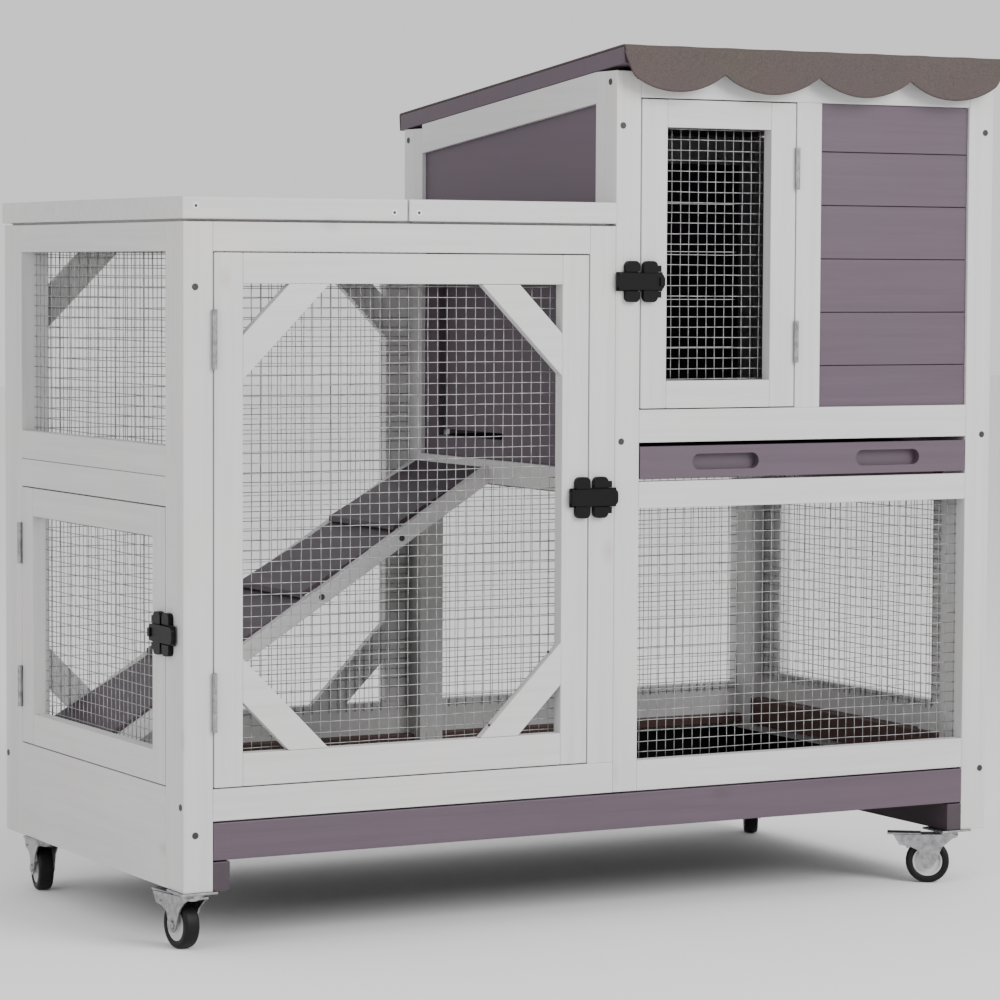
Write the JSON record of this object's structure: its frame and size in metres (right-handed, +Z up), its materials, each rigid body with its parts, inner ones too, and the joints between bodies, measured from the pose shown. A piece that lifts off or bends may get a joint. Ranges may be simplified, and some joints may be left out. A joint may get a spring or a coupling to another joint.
{
  "type": "rabbit hutch",
  "caption": "Two-level hutch on swivel casters: a mesh run with a ramp beside a raised house with a hinged roof, mesh doors, a sliding door and pull-out trays.",
  "frame": {"origin": "on the floor under the middle of the hutch", "axes": "+X from the run towards the house, +Y towards the back, +Z up"},
  "size_m": [1.162, 0.611, 1.0811],
  "materials": {
    "white_wood": "satin paint, pale grey",
    "mauve_wood": "satin paint, grey mauve",
    "roof_felt": "mineral felt",
    "wire_mesh": "galvanised",
    "zinc_hardware": "zinc plated",
    "black_plastic": "moulded",
    "rubber": "matt rubber"
  },
  "bodies": {
    "frame": {"back_rails": "white_wood", "bearers": "mauve_wood", "caster_plates": "zinc_hardware", "corner_braces": "white_wood", "dividing_wall_panel": "mauve_wood", "dividing_wall_rails": "white_wood", "fixed_mesh": "wire_mesh", "frame_stiles": "white_wood", "hinge_leaves": "zinc_hardware", "house_front_rails": "white_wood", "latch_keepers": "black_plastic", "ledger_boards": "mauve_wood", "left_side_rails": "white_wood", "posts": "white_wood", "ramp_boards": "mauve_wood", "ramp_rails": "white_wood", "right_side_rails": "white_wood", "run_front_rails": "white_wood", "run_roof_panels": "white_wood", "screws": "zinc_hardware", "siding_boards": "mauve_wood"},
    "run_door": {"run_door_stiles": "white_wood", "run_door_rails": "white_wood", "run_door_mesh": "wire_mesh", "run_door_hinges": "zinc_hardware", "run_door_latch": "black_plastic"},
    "run_bolt": {"run_bolt": "black_plastic"},
    "side_door": {"side_door_stiles": "white_wood", "side_door_rails": "white_wood", "side_door_mesh": "wire_mesh", "side_door_hinges": "zinc_hardware", "side_door_latch": "black_plastic"},
    "side_bolt": {"side_bolt": "black_plastic"},
    "window_door": {"window_door_stiles": "white_wood", "window_door_rails": "white_wood", "window_door_mesh": "wire_mesh", "window_door_hinges": "zinc_hardware", "window_door_latch": "black_plastic"},
    "window_bolt": {"window_bolt": "black_plastic"},
    "house_tray": {"house_tray_front": "mauve_wood", "house_tray_pan": "black_plastic"},
    "wide_tray": {"wide_tray_front": "mauve_wood", "wide_tray_pan": "black_plastic"},
    "roof": {"roof_lid": "mauve_wood", "roof_felt": "roof_felt", "roof_hinges": "zinc_hardware"},
    "slide_door": {"slide_door": "mauve_wood"},
    "caster_fork_front_left": {"caster_fork_front_left": "zinc_hardware"},
    "caster_wheel_front_left": {"caster_wheel_front_left": "rubber"},
    "caster_pedal_front_left": {"caster_pedal_front_left": "zinc_hardware"},
    "caster_fork_back_left": {"caster_fork_back_left": "zinc_hardware"},
    "caster_wheel_back_left": {"caster_wheel_back_left": "rubber"},
    "caster_pedal_back_left": {"caster_pedal_back_left": "zinc_hardware"},
    "caster_fork_front_right": {"caster_fork_front_right": "zinc_hardware"},
    "caster_wheel_front_right": {"caster_wheel_front_right": "rubber"},
    "caster_pedal_front_right": {"caster_pedal_front_right": "zinc_hardware"},
    "caster_fork_back_right": {"caster_fork_back_right": "zinc_hardware"},
    "caster_wheel_back_right": {"caster_wheel_back_right": "rubber"},
    "caster_pedal_back_right": {"caster_pedal_back_right": "zinc_hardware"}
  },
  "joints": [
    {"name": "run_door_hinge", "type": "hinge", "parent": "frame", "child": "run_door", "pos_m": [-0.53625, -0.2904, 0.508], "axis": [0, 0, 1], "range_deg": [-120, 0]},
    {"name": "side_door_hinge", "type": "hinge", "parent": "frame", "child": "side_door", "pos_m": [-0.5784, 0.22825, 0.358], "axis": [0, 0, 1], "range_deg": [-120, 0]},
    {"name": "window_door_hinge", "type": "hinge", "parent": "frame", "child": "window_door", "pos_m": [0.26975, -0.2904, 0.824], "axis": [0, 0, 1], "range_deg": [0, 120]},
    {"name": "run_bolt_slide", "type": "slide", "parent": "run_door", "child": "run_bolt", "axis": [-1, 0, 0], "range_m": [0, 0.038]},
    {"name": "side_bolt_slide", "type": "slide", "parent": "side_door", "child": "side_bolt", "axis": [0, 1, 0], "range_m": [0, 0.038]},
    {"name": "window_bolt_slide", "type": "slide", "parent": "window_door", "child": "window_bolt", "axis": [1, 0, 0], "range_m": [0, 0.038]},
    {"name": "house_tray_slide", "type": "slide", "parent": "frame", "child": "house_tray", "axis": [0, -1, 0], "range_m": [0, 0.5]},
    {"name": "wide_tray_slide", "type": "slide", "parent": "frame", "child": "wide_tray", "axis": [0, -1, 0], "range_m": [0, 0.5]},
    {"name": "roof_hinge", "type": "hinge", "parent": "frame", "child": "roof", "pos_m": [0.291, 0.2904, 0.989], "axis": [1, 0, 0], "range_deg": [-100, 0]},
    {"name": "slide_door_lift", "type": "slide", "parent": "frame", "child": "slide_door", "axis": [0, 0, 1], "range_m": [0, 0.19]},
    {"name": "swivel_front_left", "type": "hinge", "parent": "frame", "child": "caster_fork_front_left", "pos_m": [-0.555, -0.267, 0.068], "axis": [0, 0, 1], "continuous": true},
    {"name": "spin_front_left", "type": "hinge", "parent": "caster_fork_front_left", "child": "caster_wheel_front_left", "pos_m": [-0.55761, -0.24214, 0.0285], "axis": [0.9945, 0.1045, 0], "continuous": true},
    {"name": "brake_front_left", "type": "hinge", "parent": "caster_fork_front_left", "child": "caster_pedal_front_left", "pos_m": [-0.56044, -0.21528, 0.054], "axis": [0.9945, 0.1045, 0], "range_deg": [-12, 0]},
    {"name": "swivel_back_left", "type": "hinge", "parent": "frame", "child": "caster_fork_back_left", "pos_m": [-0.555, 0.197, 0.068], "axis": [0, 0, 1], "continuous": true},
    {"name": "spin_back_left", "type": "hinge", "parent": "caster_fork_back_left", "child": "caster_wheel_back_left", "pos_m": [-0.55109, 0.22169, 0.0285], "axis": [0.9877, -0.1564, 0], "continuous": true},
    {"name": "brake_back_left", "type": "hinge", "parent": "caster_fork_back_left", "child": "caster_pedal_back_left", "pos_m": [-0.54687, 0.24836, 0.054], "axis": [0.9877, -0.1564, 0], "range_deg": [-12, 0]},
    {"name": "swivel_front_right", "type": "hinge", "parent": "frame", "child": "caster_fork_front_right", "pos_m": [0.529, -0.267, 0.068], "axis": [0, 0, 1], "continuous": true},
    {"name": "spin_front_right", "type": "hinge", "parent": "caster_fork_front_right", "child": "caster_wheel_front_right", "pos_m": [0.50852, -0.25266, 0.0285], "axis": [0.5736, 0.8192, 0], "continuous": true},
    {"name": "brake_front_right", "type": "hinge", "parent": "caster_fork_front_right", "child": "caster_pedal_front_right", "pos_m": [0.4864, -0.23717, 0.054], "axis": [0.5736, 0.8192, 0], "range_deg": [-12, 0]},
    {"name": "swivel_back_right", "type": "hinge", "parent": "frame", "child": "caster_fork_back_right", "pos_m": [0.52, 0.197, 0.068], "axis": [0, 0, 1], "continuous": true},
    {"name": "spin_back_right", "type": "hinge", "parent": "caster_fork_back_right", "child": "caster_wheel_back_right", "pos_m": [0.5325, 0.21865, 0.0285], "axis": [0.866, -0.5, 0], "continuous": true},
    {"name": "brake_back_right", "type": "hinge", "parent": "caster_fork_back_right", "child": "caster_pedal_back_right", "pos_m": [0.546, 0.24203, 0.054], "axis": [0.866, -0.5, 0], "range_deg": [-12, 0]}
  ]
}
